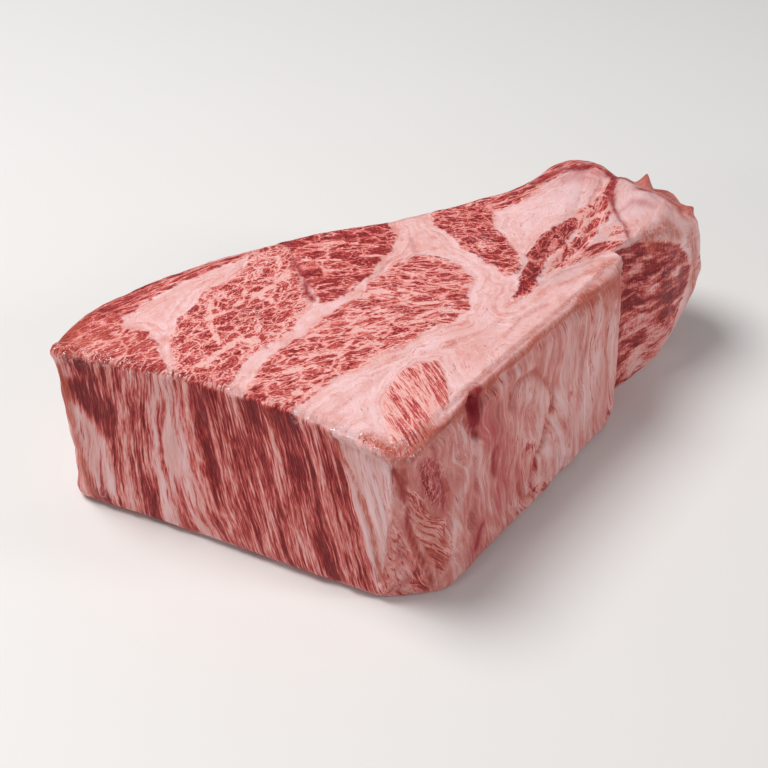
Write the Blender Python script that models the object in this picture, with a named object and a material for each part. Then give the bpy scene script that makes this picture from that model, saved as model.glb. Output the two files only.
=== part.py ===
"""Thick raw beef steak, cut across the grain: one solid piece of meat that lies on its lower cut face.

+X runs along the fat side, from the wide cut end to the narrow rounded end, +Y from the fat side to the outer skin
side, and +Z up. The origin is the middle of the box round the steak, at the height of what it lies on. Metres.
"""

import bmesh
import bpy
import numpy as np

# Driving dimensions
LENGTH = 0.150  # along the fat side, from the front corner to the narrow end
CUT_WIDTH = 0.1025  # of the wide cut end
END_WIDTH = 0.046  # of the narrow end
THICKNESS = 0.055

# Outline, from the front corner where the cut end meets the fat side
CUT_LEAN = -0.0255  # how far the cut end's other corner stands in front of the front corner
CUT_HOLLOW = 0.005  # how far the cut end's upper edge bows in
SKIN_SIDE = [  # from the cut end's far corner to the narrow end
    (CUT_LEAN, CUT_WIDTH),
    (-0.009, 0.107),
    (0.020, 0.102),
    (0.056, 0.0865),
    (0.088, 0.0665),
    (0.120, 0.0510),
    (LENGTH - 0.004, END_WIDTH),
]
FOOT_SPREAD = 0.009  # the soft meat spreads at its foot along the fat side
SPREAD_PAST_STEP = 0.45  # share of that spread past the step
SPREAD_CHANGE = (0.64, 0.76)  # shares of the length between which it drops
CUT_FOOT_SPREAD = 0.0012  # and along the cut end
END_BULGE = 0.0135  # the narrow end's belly
END_ROUND = 0.005  # how far the narrow end bows out, seen from above
SKIN_WAIST = 0.0025  # how far the skin side draws in at mid height near the cut end

# Edge radii
CUT_EDGE = 0.002
FOOT_EDGE = 0.0035
CORNER_FOOT = 0.0045  # the front corner, at its foot
END_EDGE = 0.010
END_FROM = 0.78  # share of the length where the rounded end begins

# The fat cap ends in an upright step, past which the wall is set back
STEP_X_TOP = 0.111
STEP_X_FOOT = 0.106
STEP_WIDTH = 0.0014
STEP_DEPTH_TOP = 0.0048
STEP_DEPTH_FOOT = 0.0029
STEP_FADE = 0.026  # the set-back wall swells out again over this length
END_MUSCLE_SWELL = 0.004
SWELL_RISE = (0.008, 0.030)  # distances past the step between which it comes in
FAT_SIDE_SHARE = 0.09  # the relief of the fat side fades over this share of the width
CUT_END_SHARE = 0.04  # and that of the cut end over this share of the length

# Lobes and grooves on the upper face of the narrow end: x, y, spread and height
LOBES = [
    (0.147, 0.036, 0.015, 0.0062),
    (0.141, 0.010, 0.010, 0.0022),
]
SEAM_GROOVE = [(0.085, 0.017), (0.108, 0.016), (0.128, 0.022), (0.146, 0.027), (0.158, 0.030)]
SEAM_WIDTH = 0.0035
SEAM_DEPTH = 0.0016
SEAM_START = (0.080, 0.100)  # places along X between which it deepens

# A small pocket where a vein left the fat side, and two scraps of skin at the narrow end
POCKET = {"x": 0.034, "z": 0.048, "half_width": 0.003, "half_height": 0.005, "depth": 0.0028}
SCRAPS = [
    {"y": 0.0120, "z": 0.047, "reach": 0.0042, "spread": 0.0032},
    {"y": -0.0035, "z": 0.044, "reach": 0.0036, "spread": 0.0030},
]
END_LIP = {"z": 0.045, "height": 0.0035, "reach": 0.0018, "fade_y": (0.016, 0.026)}

# Ridges of the coarse grain in the wall past the step, and of the upright grain in the cut end
GRAIN_RIDGE = 0.00035
GRAIN_PITCH = 0.0075
UNEVEN = 0.0005

# Number of steps between the rounded edges, along X, Y and Z
STEPS = (46, 24, 10)
FINE_FROM = 0.64  # share of the length past which the steps along X are closer
FINE_RATE = 1.6

MEAT_COLOUR = (0.50, 0.13, 0.12, 1.0)


def ease(start, end, value):
    """0 before start, 1 past end, smooth between them."""
    t = np.clip((value - start) / (end - start), 0.0, 1.0)
    return t * t * (3.0 - 2.0 * t)


def mix(a, b, t):
    return a + (b - a) * t


def bump(value, centre, spread):
    return np.exp(-(((value - centre) / spread) ** 2))


def curve_through(points, t):
    """Points at t, from 0 to 1, on a smooth curve through the given ones, spaced by length."""
    p = np.array(points, float)
    length = np.concatenate([[0.0], np.cumsum(np.linalg.norm(np.diff(p, axis=0), axis=1))])
    knots = length / length[-1]
    slope = np.gradient(p, knots, axis=0)
    i = np.clip(np.searchsorted(knots, t, side="right") - 1, 0, len(p) - 2)
    width = (knots[i + 1] - knots[i])[..., None]
    s = ((t - knots[i])[..., None]) / width
    return (
        (2 * s**3 - 3 * s**2 + 1) * p[i]
        + (s**3 - 2 * s**2 + s) * width * slope[i]
        + (3 * s**2 - 2 * s**3) * p[i + 1]
        + (s**3 - s**2) * width * slope[i + 1]
    )


def distance_to_line(x, y, points, samples=60):
    """Distance in plan to a smooth line through the points."""
    line = curve_through(points, np.linspace(0.0, 1.0, samples))
    nearest = np.full(np.shape(x), np.inf)
    for px, py in line:
        nearest = np.minimum(nearest, (x - px) ** 2 + (y - py) ** 2)
    return np.sqrt(nearest)


def edge_radius(u, v, w):
    """Radius of the rounding near a point of the unit block."""
    at_end = ease(END_FROM, 1.0, u)
    upright = mix(CORNER_FOOT, CUT_EDGE, ease(0.0, 0.8, w))
    near_corner = (1.0 - ease(0.0, 0.08, u)) * (1.0 - ease(0.0, 0.08, v))
    cut = mix(mix(FOOT_EDGE, CUT_EDGE, ease(0.1, 0.6, w)), upright, near_corner)
    return mix(cut, mix(0.6 * END_EDGE, END_EDGE, ease(0.2, 0.8, w)), at_end)


def rounded(u, v, w):
    """The unit block's surface with its edges rounded."""
    size = np.array([LENGTH, 0.5 * (CUT_WIDTH + END_WIDTH), THICKNESS])
    at = np.stack([u, v, w], axis=-1) * size
    radius = edge_radius(u, v, w)[..., None]
    core = np.clip(at, radius, size - radius)
    away = at - core
    far = np.linalg.norm(away, axis=-1, keepdims=True)
    at = core + away / np.maximum(far, 1e-12) * radius
    return np.moveaxis(at / size, -1, 0)


def plan(u, v, w):
    """Place in plan of a point of the block: a patch between the four sides, which change with height."""
    low = np.clip(1.0 - w, 0.0, 1.0)
    belly = 4.0 * w * (1.0 - w)
    end_belly = np.sin(np.pi * low**0.7) ** 2

    fat_x = mix(0.0, LENGTH, u)
    spread = FOOT_SPREAD * ease(-0.02, 0.10, u) * mix(1.0, SPREAD_PAST_STEP, ease(*SPREAD_CHANGE, u))
    fat_y = 0.001 - spread * low
    skin = curve_through(SKIN_SIDE, u)
    skin_x = skin[..., 0]
    skin_y = skin[..., 1] - SKIN_WAIST * belly * (1.0 - ease(0.1, 0.6, u))

    hollow = CUT_HOLLOW * np.sin(np.pi * v) * ease(0.1, 1.0, w)
    cut_x = mix(0.0, CUT_LEAN, v) + hollow - CUT_FOOT_SPREAD * low**2 * (1.0 + v**8)
    cut_y = mix(0.0, CUT_WIDTH, v) + CUT_FOOT_SPREAD * low**2 * v**8
    end_x = mix(LENGTH, SKIN_SIDE[-1][0], v) + END_ROUND * np.sin(np.pi * v)
    end_y = mix(0.0, END_WIDTH, v)

    corner_x = (1 - u) * v * CUT_LEAN + u * (1 - v) * LENGTH + u * v * SKIN_SIDE[-1][0]
    corner_y = (1 - u) * v * CUT_WIDTH + u * v * END_WIDTH
    x = (1 - v) * fat_x + v * skin_x + (1 - u) * cut_x + u * end_x - corner_x
    y = (1 - v) * fat_y + v * skin_y + (1 - u) * cut_y + u * end_y - corner_y
    return x + END_BULGE * end_belly * ease(0.6, 1.0, u), y


def top_relief(x, y):
    """Height of the upper face over the plain cut."""
    height = np.zeros(np.shape(x))
    for lobe_x, lobe_y, spread, lift in LOBES:
        height = height + lift * bump(np.hypot(x - lobe_x, y - lobe_y), 0.0, spread)
    groove = bump(distance_to_line(x, y, SEAM_GROOVE), 0.0, SEAM_WIDTH)
    height = height - SEAM_DEPTH * groove * ease(*SEAM_START, x)
    rolling = np.sin(x * 71.0 + 1.3) * np.sin(y * 88.0 + 0.4)
    return height + UNEVEN * rolling


def fat_side_relief(x, z):
    """How far the wall along the fat side is set back, in +Y."""
    up = z / THICKNESS
    past = x - mix(STEP_X_FOOT, STEP_X_TOP, up)
    stepped = ease(-STEP_WIDTH, STEP_WIDTH, past)
    set_back = mix(STEP_DEPTH_FOOT, STEP_DEPTH_TOP, up) * (1.0 - ease(0.0, STEP_FADE, past))
    swell = END_MUSCLE_SWELL * ease(*SWELL_RISE, past) * np.sin(np.pi * np.clip(up, 0.0, 1.0))
    ridge = GRAIN_RIDGE * np.sin(2 * np.pi * (z + 0.45 * x) / GRAIN_PITCH) * ease(0.0, 0.004, past)
    pocket = POCKET["depth"] * bump(x, POCKET["x"], POCKET["half_width"])
    pocket = pocket * bump(z, POCKET["z"], POCKET["half_height"])
    rolling = UNEVEN * np.sin(x * 95.0) * np.sin(z * 120.0 + 0.7)
    return stepped * (set_back - swell + ridge) + pocket + rolling


def cut_end_relief(y, z):
    """How far the wide cut end is set back, in +X: upright ridges of grain, fading at the foot and the top."""
    ridge = GRAIN_RIDGE * np.sin(2 * np.pi * (y + 0.3 * (THICKNESS - z)) / GRAIN_PITCH)
    rolling = UNEVEN * np.sin(y * 61.0 + 2.0)
    return (ridge + rolling) * np.sin(np.pi * np.clip(z / THICKNESS, 0.0, 1.0))


def end_relief(y, z):
    """How far the narrow end stands out, in +X: a lip of skin with two scraps on it."""
    lip = END_LIP["reach"] * bump(z, END_LIP["z"], END_LIP["height"])
    lip = lip * (1.0 - ease(*END_LIP["fade_y"], y))
    for scrap in SCRAPS:
        away = np.hypot(y - scrap["y"], z - scrap["z"])
        lip = lip + scrap["reach"] * bump(away, 0.0, scrap["spread"])
    return lip


def form(u, v, w):
    """Place of a point of the unit block's surface on the steak."""
    u, v, w = rounded(u, v, w)
    x, y = plan(u, v, w)
    z = w * THICKNESS
    on_top = ease(0.55, 1.0, w)
    z = z + top_relief(x, y) * on_top
    y = y + fat_side_relief(x, z) * (1.0 - ease(0.0, FAT_SIDE_SHARE, v))
    x = x + cut_end_relief(y, z) * (1.0 - ease(0.0, CUT_END_SHARE, u))
    x = x + end_relief(y, z) * ease(0.93, 0.99, u)
    return np.stack([x, y, z], axis=-1)


def lines(size, first_radius, last_radius, steps, fine_from=1.0):
    """Shares of a side where the mesh has its lines: two over each half edge, and closer ones past fine_from."""
    arc = 1.0 - np.tan(np.pi / 4 * np.array([1.0, 0.5, 0.0]))
    first = first_radius * arc
    last = size - last_radius * arc[::-1]
    slow = fine_from * FINE_RATE
    reach = np.array([0.0, slow, slow + (1.0 - fine_from) * FINE_RATE**2])
    share = np.interp(np.linspace(0.0, reach[-1], steps + 1), reach, [0.0, fine_from, 1.0])
    middle = first[-1] + (last[0] - first[-1]) * share
    return np.concatenate([first[:-1], middle, last[1:]]) / size


def block_faces(counts):
    """Corners (i, j, k) of each quad on a block of lines, turned outwards."""
    faces = []
    for axis in range(3):
        a, b = (axis + 1) % 3, (axis + 2) % 3
        for side in (0, counts[axis] - 1):
            for i in range(counts[a] - 1):
                for j in range(counts[b] - 1):
                    quad = []
                    for da, db in ((0, 0), (1, 0), (1, 1), (0, 1)):
                        key = [0, 0, 0]
                        key[axis], key[a], key[b] = side, i + da, j + db
                        quad.append(tuple(key))
                    faces.append(quad if side else quad[::-1])
    return faces


def meat_material():
    material = bpy.data.materials.new("marbled_beef")
    material.use_nodes = True
    shader = material.node_tree.nodes["Principled BSDF"]
    shader.inputs["Base Color"].default_value = MEAT_COLOUR
    shader.inputs["Roughness"].default_value = 0.35
    shader.inputs["Metallic"].default_value = 0.0
    return material


def make_steak():
    width = 0.5 * (CUT_WIDTH + END_WIDTH)
    grid = [
        lines(LENGTH, CUT_EDGE * 1.5, END_EDGE, STEPS[0], FINE_FROM),
        lines(width, CUT_EDGE * 1.5, CUT_EDGE * 1.5, STEPS[1]),
        lines(THICKNESS, FOOT_EDGE, CUT_EDGE, STEPS[2]),
    ]
    faces = block_faces([len(line) for line in grid])
    keys = sorted({key for quad in faces for key in quad})
    u, v, w = (grid[axis][[key[axis] for key in keys]] for axis in range(3))
    points = form(u, v, w)
    low, high = points.min(axis=0), points.max(axis=0)
    points -= [0.5 * (low[0] + high[0]), 0.5 * (low[1] + high[1]), low[2]]

    mesh = bmesh.new()
    vertices = {key: mesh.verts.new(point) for key, point in zip(keys, points.tolist())}
    for quad in faces:
        mesh.faces.new([vertices[key] for key in quad])
    data = bpy.data.meshes.new("beef_steak")
    mesh.to_mesh(data)
    mesh.free()
    data.shade_smooth()
    data.set_sharp_from_angle(angle=np.radians(40))
    steak = bpy.data.objects.new("beef_steak", data)
    data.materials.append(meat_material())
    bpy.context.scene.collection.objects.link(steak)


for old in list(bpy.data.objects):
    bpy.data.objects.remove(old, do_unlink=True)
make_steak()
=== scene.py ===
import math

import bpy
import numpy as np
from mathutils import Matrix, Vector


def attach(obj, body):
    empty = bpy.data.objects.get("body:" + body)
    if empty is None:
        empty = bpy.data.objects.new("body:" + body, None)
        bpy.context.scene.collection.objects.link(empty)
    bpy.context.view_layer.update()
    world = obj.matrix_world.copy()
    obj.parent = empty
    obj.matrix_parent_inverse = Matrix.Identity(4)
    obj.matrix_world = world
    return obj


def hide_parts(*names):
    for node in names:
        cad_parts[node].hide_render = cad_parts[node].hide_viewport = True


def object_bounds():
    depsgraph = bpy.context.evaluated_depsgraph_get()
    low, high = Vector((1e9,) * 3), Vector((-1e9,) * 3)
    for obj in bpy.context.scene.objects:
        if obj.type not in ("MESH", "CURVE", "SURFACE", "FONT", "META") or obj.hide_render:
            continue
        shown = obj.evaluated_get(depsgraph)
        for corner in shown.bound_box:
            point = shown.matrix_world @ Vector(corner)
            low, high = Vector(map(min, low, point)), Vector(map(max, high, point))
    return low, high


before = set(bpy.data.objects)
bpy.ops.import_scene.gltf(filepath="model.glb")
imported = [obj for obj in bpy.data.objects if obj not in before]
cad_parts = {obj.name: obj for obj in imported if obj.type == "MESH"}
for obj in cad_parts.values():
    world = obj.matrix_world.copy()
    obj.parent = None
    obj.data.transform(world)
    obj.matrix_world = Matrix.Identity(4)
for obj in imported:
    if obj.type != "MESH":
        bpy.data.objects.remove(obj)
cadLow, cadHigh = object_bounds()

# The steak's own plan is in millimetres from its front corner, where the cut end meets the fat side
# at the top
mm = 0.001
cornerFromLow = (26.135, 7.859)  # front corner, from the low corner of the CAD box
originX = cadLow.x / mm + cornerFromLow[0]
originY = cadLow.y / mm + cornerFromLow[1]


# Small numeric helpers

def ease(start, end, value):
    t = np.clip((value - start) / (end - start), 0.0, 1.0)
    return t * t * (3.0 - 2.0 * t)


def between(a, b, t):
    return a + (b - a) * t


def bell(value, centre, spread):
    return np.exp(-(((value - centre) / spread) ** 2))


def curveThrough(points, t):
    p = np.array(points, float)
    length = np.concatenate([[0.0], np.cumsum(np.linalg.norm(np.diff(p, axis=0), axis=1))])
    knots = length / length[-1]
    slope = np.gradient(p, knots, axis=0)
    i = np.clip(np.searchsorted(knots, t, side="right") - 1, 0, len(p) - 2)
    width = (knots[i + 1] - knots[i])[..., None]
    s = (t - knots[i])[..., None] / width
    value = (2 * s**3 - 3 * s**2 + 1) * p[i] + (3 * s**2 - 2 * s**3) * p[i + 1]
    return value + width * ((s**3 - 2 * s**2 + s) * slope[i] + (s**3 - s**2) * slope[i + 1])


def distanceToPath(x, y, points):
    nearest = np.full(np.shape(x), np.inf)
    for (ax, ay), (bx, by) in zip(points[:-1], points[1:]):
        ex, ey = bx - ax, by - ay
        t = np.clip(((x - ax) * ex + (y - ay) * ey) / (ex * ex + ey * ey), 0.0, 1.0)
        nearest = np.minimum(nearest, (x - ax - t * ex) ** 2 + (y - ay - t * ey) ** 2)
    return np.sqrt(nearest)


def depthInside(x, y, outline):
    # distance to a closed outline, above 0 inside it
    closed = outline + outline[:1]
    inside = np.zeros(np.shape(x), bool)
    for (ax, ay), (bx, by) in zip(closed[:-1], closed[1:]):
        crosses = (ay > y) != (by > y)
        inside ^= crosses & (x < ax + (bx - ax) * (y - ay) / (by - ay if by != ay else 1.0))
    return np.where(inside, 1.0, -1.0) * distanceToPath(x, y, closed)


hashFactors = (374761393, 668265263, 1440670441, 1274126177)  # they mix a cell's numbers into a random value


def softNoise(points, size, seed):
    # smooth random values from -1 to 1 that change over about size millimetres
    q = points / size + seed * 31.7
    cell = np.floor(q).astype(np.int64)
    t = q - cell
    t = t * t * (3.0 - 2.0 * t)
    total = np.zeros(len(points))
    for corner in np.ndindex(2, 2, 2):
        at = cell + corner
        mixed = at[:, 0] * hashFactors[0] + at[:, 1] * hashFactors[1] + at[:, 2] * hashFactors[2]
        mixed = (mixed ^ (mixed >> 13)) * hashFactors[3] & 0xFFFFFFFF
        value = ((mixed ^ (mixed >> 16)) & 0xFFFF) / 32767.5 - 1.0
        total += value * np.prod(np.where(corner, t, 1.0 - t), axis=1)
    return total


# The steak's form: the same block, patch and reliefs as the solid, on a much finer mesh

steakForm = {
    "length": 150.0,
    "cutWidth": 102.5,
    "endWidth": 46.0,
    "thickness": 55.0,
    "cutLean": -25.5,
    "cutHollow": 5.0,
    "skinSide": [
        (-25.5, 102.5), (-9.0, 107.0), (20.0, 102.0), (56.0, 86.5), (88.0, 66.5), (120.0, 51.0),
        (146.0, 46.0),
    ],
    "footSpread": 9.0,
    "spreadPastStep": 0.45,
    "spreadChange": (0.64, 0.76),
    "cutFootSpread": 1.2,
    "endBulge": 13.5,
    "endRound": 5.0,
    "skinWaist": 2.5,
    "cutEdge": 1.6,
    "footEdge": 3.5,
    "cornerFoot": 9.0,
    "cornerTop": 3.6,
    "endEdge": 10.0,
    "endFrom": 0.78,
    "stepTop": 111.0,
    "stepFoot": 106.0,
    "stepWidth": 0.7,
    "stepDepthTop": 4.8,
    "stepDepthFoot": 2.9,
    "stepFade": 26.0,
    "endSwell": 4.0,
    "swellRise": (8.0, 30.0),
    "lobes": [(147.0, 36.0, 15.0, 6.2), (141.0, 10.0, 10.0, 2.2)],
    "seamGroove": [(85.0, 17.0), (108.0, 16.0), (128.0, 22.0), (146.0, 27.0), (158.0, 30.0)],
    "seamWidth": 3.5,
    "seamDepth": 1.6,
    "pocket": {"x": 31.0, "z": 50.0, "halfWidth": 2.2, "halfHeight": 4.2, "depth": 3.4},
    "scraps": [
        {"y": 14.0, "z": 47.0, "reach": 3.0, "spread": 4.5},
        {"y": -3.5, "z": 44.0, "reach": 3.0, "spread": 3.5},
    ],
    "lip": {"z": 46.0, "height": 2.4, "reach": 2.4, "fade": (18.0, 28.0)},
    "steps": (212, 120, 64),  # mesh steps along X, Y and Z
}


def edgeRadius(form, u, v, w):
    atEnd = ease(form["endFrom"], 1.0, u)
    upright = between(form["cornerFoot"], form["cornerTop"], ease(0.0, 0.8, w))
    nearCorner = (1.0 - ease(0.0, 0.08, u)) * (1.0 - ease(0.0, 0.08, v))
    cut = between(form["footEdge"], form["cutEdge"], ease(0.1, 0.6, w))
    cut = between(cut, upright, nearCorner)
    return between(cut, form["endEdge"] * between(0.6, 1.0, ease(0.2, 0.8, w)), atEnd)


def roundedBlock(form, u, v, w):
    size = np.array([form["length"], 0.5 * (form["cutWidth"] + form["endWidth"]), form["thickness"]])
    at = np.stack([u, v, w], axis=-1) * size
    radius = edgeRadius(form, u, v, w)[..., None]
    core = np.clip(at, radius, size - radius)
    away = at - core
    far = np.linalg.norm(away, axis=-1, keepdims=True)
    return np.moveaxis((core + away / np.maximum(far, 1e-9) * radius) / size, -1, 0)


def placeInPlan(form, u, v, w):
    low = np.clip(1.0 - w, 0.0, 1.0)
    belly = 4.0 * w * (1.0 - w)
    endBelly = np.sin(np.pi * low**0.7) ** 2
    length, cutWidth, endWidth, lean = (form[k] for k in ("length", "cutWidth", "endWidth", "cutLean"))
    spread = form["footSpread"] * ease(-0.02, 0.10, u)
    spread = spread * between(1.0, form["spreadPastStep"], ease(*form["spreadChange"], u))
    skin = curveThrough(form["skinSide"], u)
    skinY = skin[..., 1] - form["skinWaist"] * belly * (1.0 - ease(0.1, 0.6, u))
    hollow = form["cutHollow"] * np.sin(np.pi * v) * ease(0.1, 1.0, w)
    foot = form["cutFootSpread"] * low**2
    cutX = lean * v + hollow - foot * (1.0 + v**8)
    cutY = cutWidth * v + foot * v**8
    lastX = form["skinSide"][-1][0]
    endX = between(length, lastX, v) + form["endRound"] * np.sin(np.pi * v)
    cornerX = (1 - u) * v * lean + u * (1 - v) * length + u * v * lastX
    cornerY = (1 - u) * v * cutWidth + u * v * endWidth
    x = (1 - v) * length * u + v * skin[..., 0] + (1 - u) * cutX + u * endX - cornerX
    y = (1 - v) * (1.0 - spread * low) + v * skinY + (1 - u) * cutY + u * endWidth * v - cornerY
    return x + form["endBulge"] * endBelly * ease(0.6, 1.0, u), y


def topRelief(form, x, y):
    height = np.zeros(np.shape(x))
    for lobeX, lobeY, spread, lift in form["lobes"]:
        height = height + lift * bell(np.hypot(x - lobeX, y - lobeY), 0.0, spread)
    groove = bell(distanceToPath(x, y, form["seamGroove"]), 0.0, form["seamWidth"])
    return height - form["seamDepth"] * groove * ease(80.0, 100.0, x)


def fatSideRelief(form, x, z):
    up = z / form["thickness"]
    past = x - between(form["stepFoot"], form["stepTop"], up)
    stepped = ease(-form["stepWidth"], form["stepWidth"], past)
    setBack = between(form["stepDepthFoot"], form["stepDepthTop"], up)
    setBack = setBack * (1.0 - ease(0.0, form["stepFade"], past))
    swell = form["endSwell"] * ease(*form["swellRise"], past) * np.sin(np.pi * np.clip(up, 0.0, 1.0))
    pocket = form["pocket"]
    hole = bell(x, pocket["x"], pocket["halfWidth"]) * bell(z, pocket["z"], pocket["halfHeight"])
    return stepped * (setBack - swell) + pocket["depth"] * hole


def endRelief(form, y, z):
    lip = form["lip"]
    out = lip["reach"] * bell(z, lip["z"], lip["height"]) * (1.0 - ease(*lip["fade"], y))
    for scrap in form["scraps"]:
        away = np.hypot(y - scrap["y"], z - scrap["z"])
        out = out + scrap["reach"] * bell(away, 0.0, scrap["spread"])
    return out


def formPoints(form, u, v, w):
    u, v, w = roundedBlock(form, u, v, w)
    x, y = placeInPlan(form, u, v, w)
    z = w * form["thickness"]
    z = z + topRelief(form, x, y) * ease(0.55, 1.0, w)
    y = y + fatSideRelief(form, x, z) * (1.0 - ease(0.0, 0.09, v))
    x = x + endRelief(form, y, z) * ease(0.93, 0.99, u)
    return np.stack([x, y, z], axis=-1)


def blockMesh(counts):
    # corner numbers of the points on a block's surface, and its quads turned outwards
    shown = np.zeros(counts, bool)
    shown[[0, -1]] = shown[:, [0, -1]] = shown[:, :, [0, -1]] = True
    ids = np.full(counts, -1)
    ids[shown] = np.arange(shown.sum())
    quads = []
    for axis in range(3):
        for side in (0, -1):
            sheet = np.take(ids, side, axis=axis)
            quad = [sheet[:-1, :-1], sheet[1:, :-1], sheet[1:, 1:], sheet[:-1, 1:]]
            quad = np.stack(quad, -1).reshape(-1, 4)
            turned = (side == 0) != (axis == 1)
            quads.append(quad[:, ::-1] if turned else quad)
    return np.argwhere(shown), np.concatenate(quads)


def pointNormals(points, quads):
    across = points[quads[:, 2]] - points[quads[:, 0]]
    other = points[quads[:, 3]] - points[quads[:, 1]]
    faceNormal = np.cross(across, other)
    normals = np.zeros_like(points)
    for corner in range(4):
        np.add.at(normals, quads[:, corner], faceNormal)
    return normals / np.maximum(np.linalg.norm(normals, axis=1, keepdims=True), 1e-9)


# The muscles, as they lie in the cut face: outlines in millimetres, the way their marbling runs, and their
# look. cell is the size of a fleck, stretch how much longer than wide it is, fat the share of marbling, and
# tone how dark the meat is.

muscles = {
    "outerLeft": {
        "outline": [
            (-30, 92), (-29, 101), (-18, 110), (-8, 108), (0, 101), (-3, 96), (-5, 94), (-2, 87), (-5, 80),
            (-11, 71), (-22, 68), (-30, 84),
        ],
        "angle": -12, "stretch": 2.6, "cell": 2.4, "fat": 0.2, "tone": 0.32,
    },
    "skinStrip": {
        "outline": [
            (-12, 112), (10, 112), (30, 104), (48, 95), (43, 91), (36, 91.5), (27, 95), (12, 97),
            (-4, 97.5),
        ],
        "angle": -16, "stretch": 9.0, "cell": 1.9, "fat": 0.22, "tone": 0.7,
    },
    "eyeA": {
        "outline": [
            (-2, 79), (9, 85), (19, 87.5), (28, 86.5), (37, 87.5), (45, 92), (52, 88), (51, 82), (48, 77),
            (42, 69), (38, 63), (34, 59), (28, 58.5), (22, 55.5), (13, 56), (5, 57), (-4, 53.5), (-12, 52),
            (-15, 60), (-11, 69), (-4, 77),
        ],
        "angle": -10, "stretch": 1.7, "cell": 2.3, "fat": 0.42, "tone": 0.45,
    },
    "wedgeD": {
        "outline": [
            (52, 84), (50, 92), (58, 92), (66, 86), (77, 76), (82, 69), (78, 62), (71.5, 58), (66, 58.5),
            (57, 55.5), (46, 54.5), (36, 57.5), (39, 63), (45, 74),
        ],
        "angle": -42, "stretch": 2.2, "cell": 2.9, "fat": 0.2, "tone": 0.75,
    },
    "eyeB": {
        "outline": [
            (-10, 46), (-3, 50), (8, 52), (24, 53), (32, 53), (44, 51), (50, 45), (52, 35), (50, 24.5),
            (44, 26.5), (36, 27.5), (25, 29.5), (15, 32.5), (7, 34), (-1, 33.5), (-9, 30), (-14, 38),
        ],
        "angle": -30, "stretch": 2.8, "cell": 2.3, "fat": 0.42, "tone": 0.42,
    },
    "eyeC": {
        "outline": [
            (47, 50), (52, 53.5), (58, 53), (65, 53.5), (72, 51), (76.5, 45), (77, 38), (74, 31), (67, 27),
            (60, 23), (54, 22.5), (49, 24.5), (44, 32), (42, 44),
        ],
        "angle": -50, "stretch": 3.2, "cell": 1.9, "fat": 0.4, "tone": 0.52,
    },
    "neckE": {
        "outline": [
            (89, 56), (94, 61), (99, 61.5), (106, 57), (108.5, 49.5), (106, 45), (100, 41), (96.5, 34),
            (92.5, 27), (87, 22), (83.5, 22), (79, 23.5), (82, 29), (84, 36), (85, 44), (88, 51),
        ],
        "angle": -55, "stretch": 2.2, "cell": 2.1, "fat": 0.27, "tone": 0.85,
    },
    "capF": {
        "outline": [
            (26, 21), (32, 20), (35, 17), (33, 13), (29, 7.5), (24, 4.5), (18, 2), (11, 1), (4, 2), (3, 6),
            (9, 13), (14, 18), (20, 19.5),
        ],
        "angle": 62, "stretch": 9.0, "cell": 1.35, "fat": 0.36, "tone": 0.08,
    },
    "cornerTop": {
        "outline": [(-1.5, 14), (-2, 5), (0, -1), (8, -2), (13, 0), (7, 1.5), (3.5, 4), (2, 9), (1.5, 14)],
        "angle": 60, "stretch": 1.8, "cell": 1.2, "fat": 0.5, "tone": 0.1,
    },
    "backStrip": {
        "outline": [
            (88, 68), (95, 72), (108, 66), (122, 60), (134, 57), (132, 50), (131, 41.5), (124, 42),
            (116, 43.8), (108.5, 46.5), (105, 51), (98, 61),
        ],
        "angle": -22, "stretch": 4.0, "cell": 2.2, "fat": 0.36, "tone": 0.6,
    },
    "backFar": {
        "outline": [
            (130, 58), (138, 56), (152, 48), (160, 34), (153, 28), (145, 25), (142, 32), (137, 37.5),
            (130, 41),
        ],
        "angle": -35, "stretch": 5.0, "cell": 2.6, "fat": 0.3, "tone": 0.55,
    },
    "seamDark": {
        "outline": [
            (67, 15), (76, 17.5), (84.5, 20.5), (89, 22.5), (92.5, 24.8), (102, 27), (112, 27.3),
            (117, 25.2), (119, 22.5), (112, 20), (106, 19.6), (100, 19.7), (94, 19), (90.5, 17),
            (83.5, 15.3), (76, 14.6),
        ],
        "angle": 8, "stretch": 1.8, "cell": 2.7, "fat": 0.1, "tone": 1.15,
    },
    "seamFar": {
        "outline": [
            (117, 25.2), (130, 25), (138, 25), (150, 28), (163, 31), (163, 27), (150, 23.5), (142, 22.5),
            (136, 20), (131, 17), (126, 15.3), (122, 17), (118, 14.3), (111.5, 13.8), (105.5, 13.6),
            (97, 12.8), (92, 13.2), (86.5, 14.6), (90.5, 17), (94, 19), (100, 19.7), (106, 19.6), (112, 20),
            (119, 22.5),
        ],
        "angle": 10, "stretch": 2.2, "cell": 2.8, "fat": 0.5, "tone": 0.45,
    },
    "seamLow": {
        "outline": [
            (96, 13), (104, 13.6), (110.5, 13.2), (115, 10), (118, 6), (119, 3.5), (112, 5.6), (106, 8.7),
            (100, 11),
        ],
        "angle": -12, "stretch": 3.0, "cell": 2.2, "fat": 0.3, "tone": 0.7,
    },
    "ovalG": {
        "outline": [
            (118, 13.2), (121, 14.4), (124.5, 14), (126, 11.7), (124.5, 8.6), (121.7, 7.7), (118.6, 8.7),
            (117.4, 11),
        ],
        "angle": -20, "stretch": 2.0, "cell": 2.0, "fat": 0.54, "tone": 0.0,
    },
}

# The widest streaks of fat inside the muscles: half width, and a path in the cut face

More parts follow.
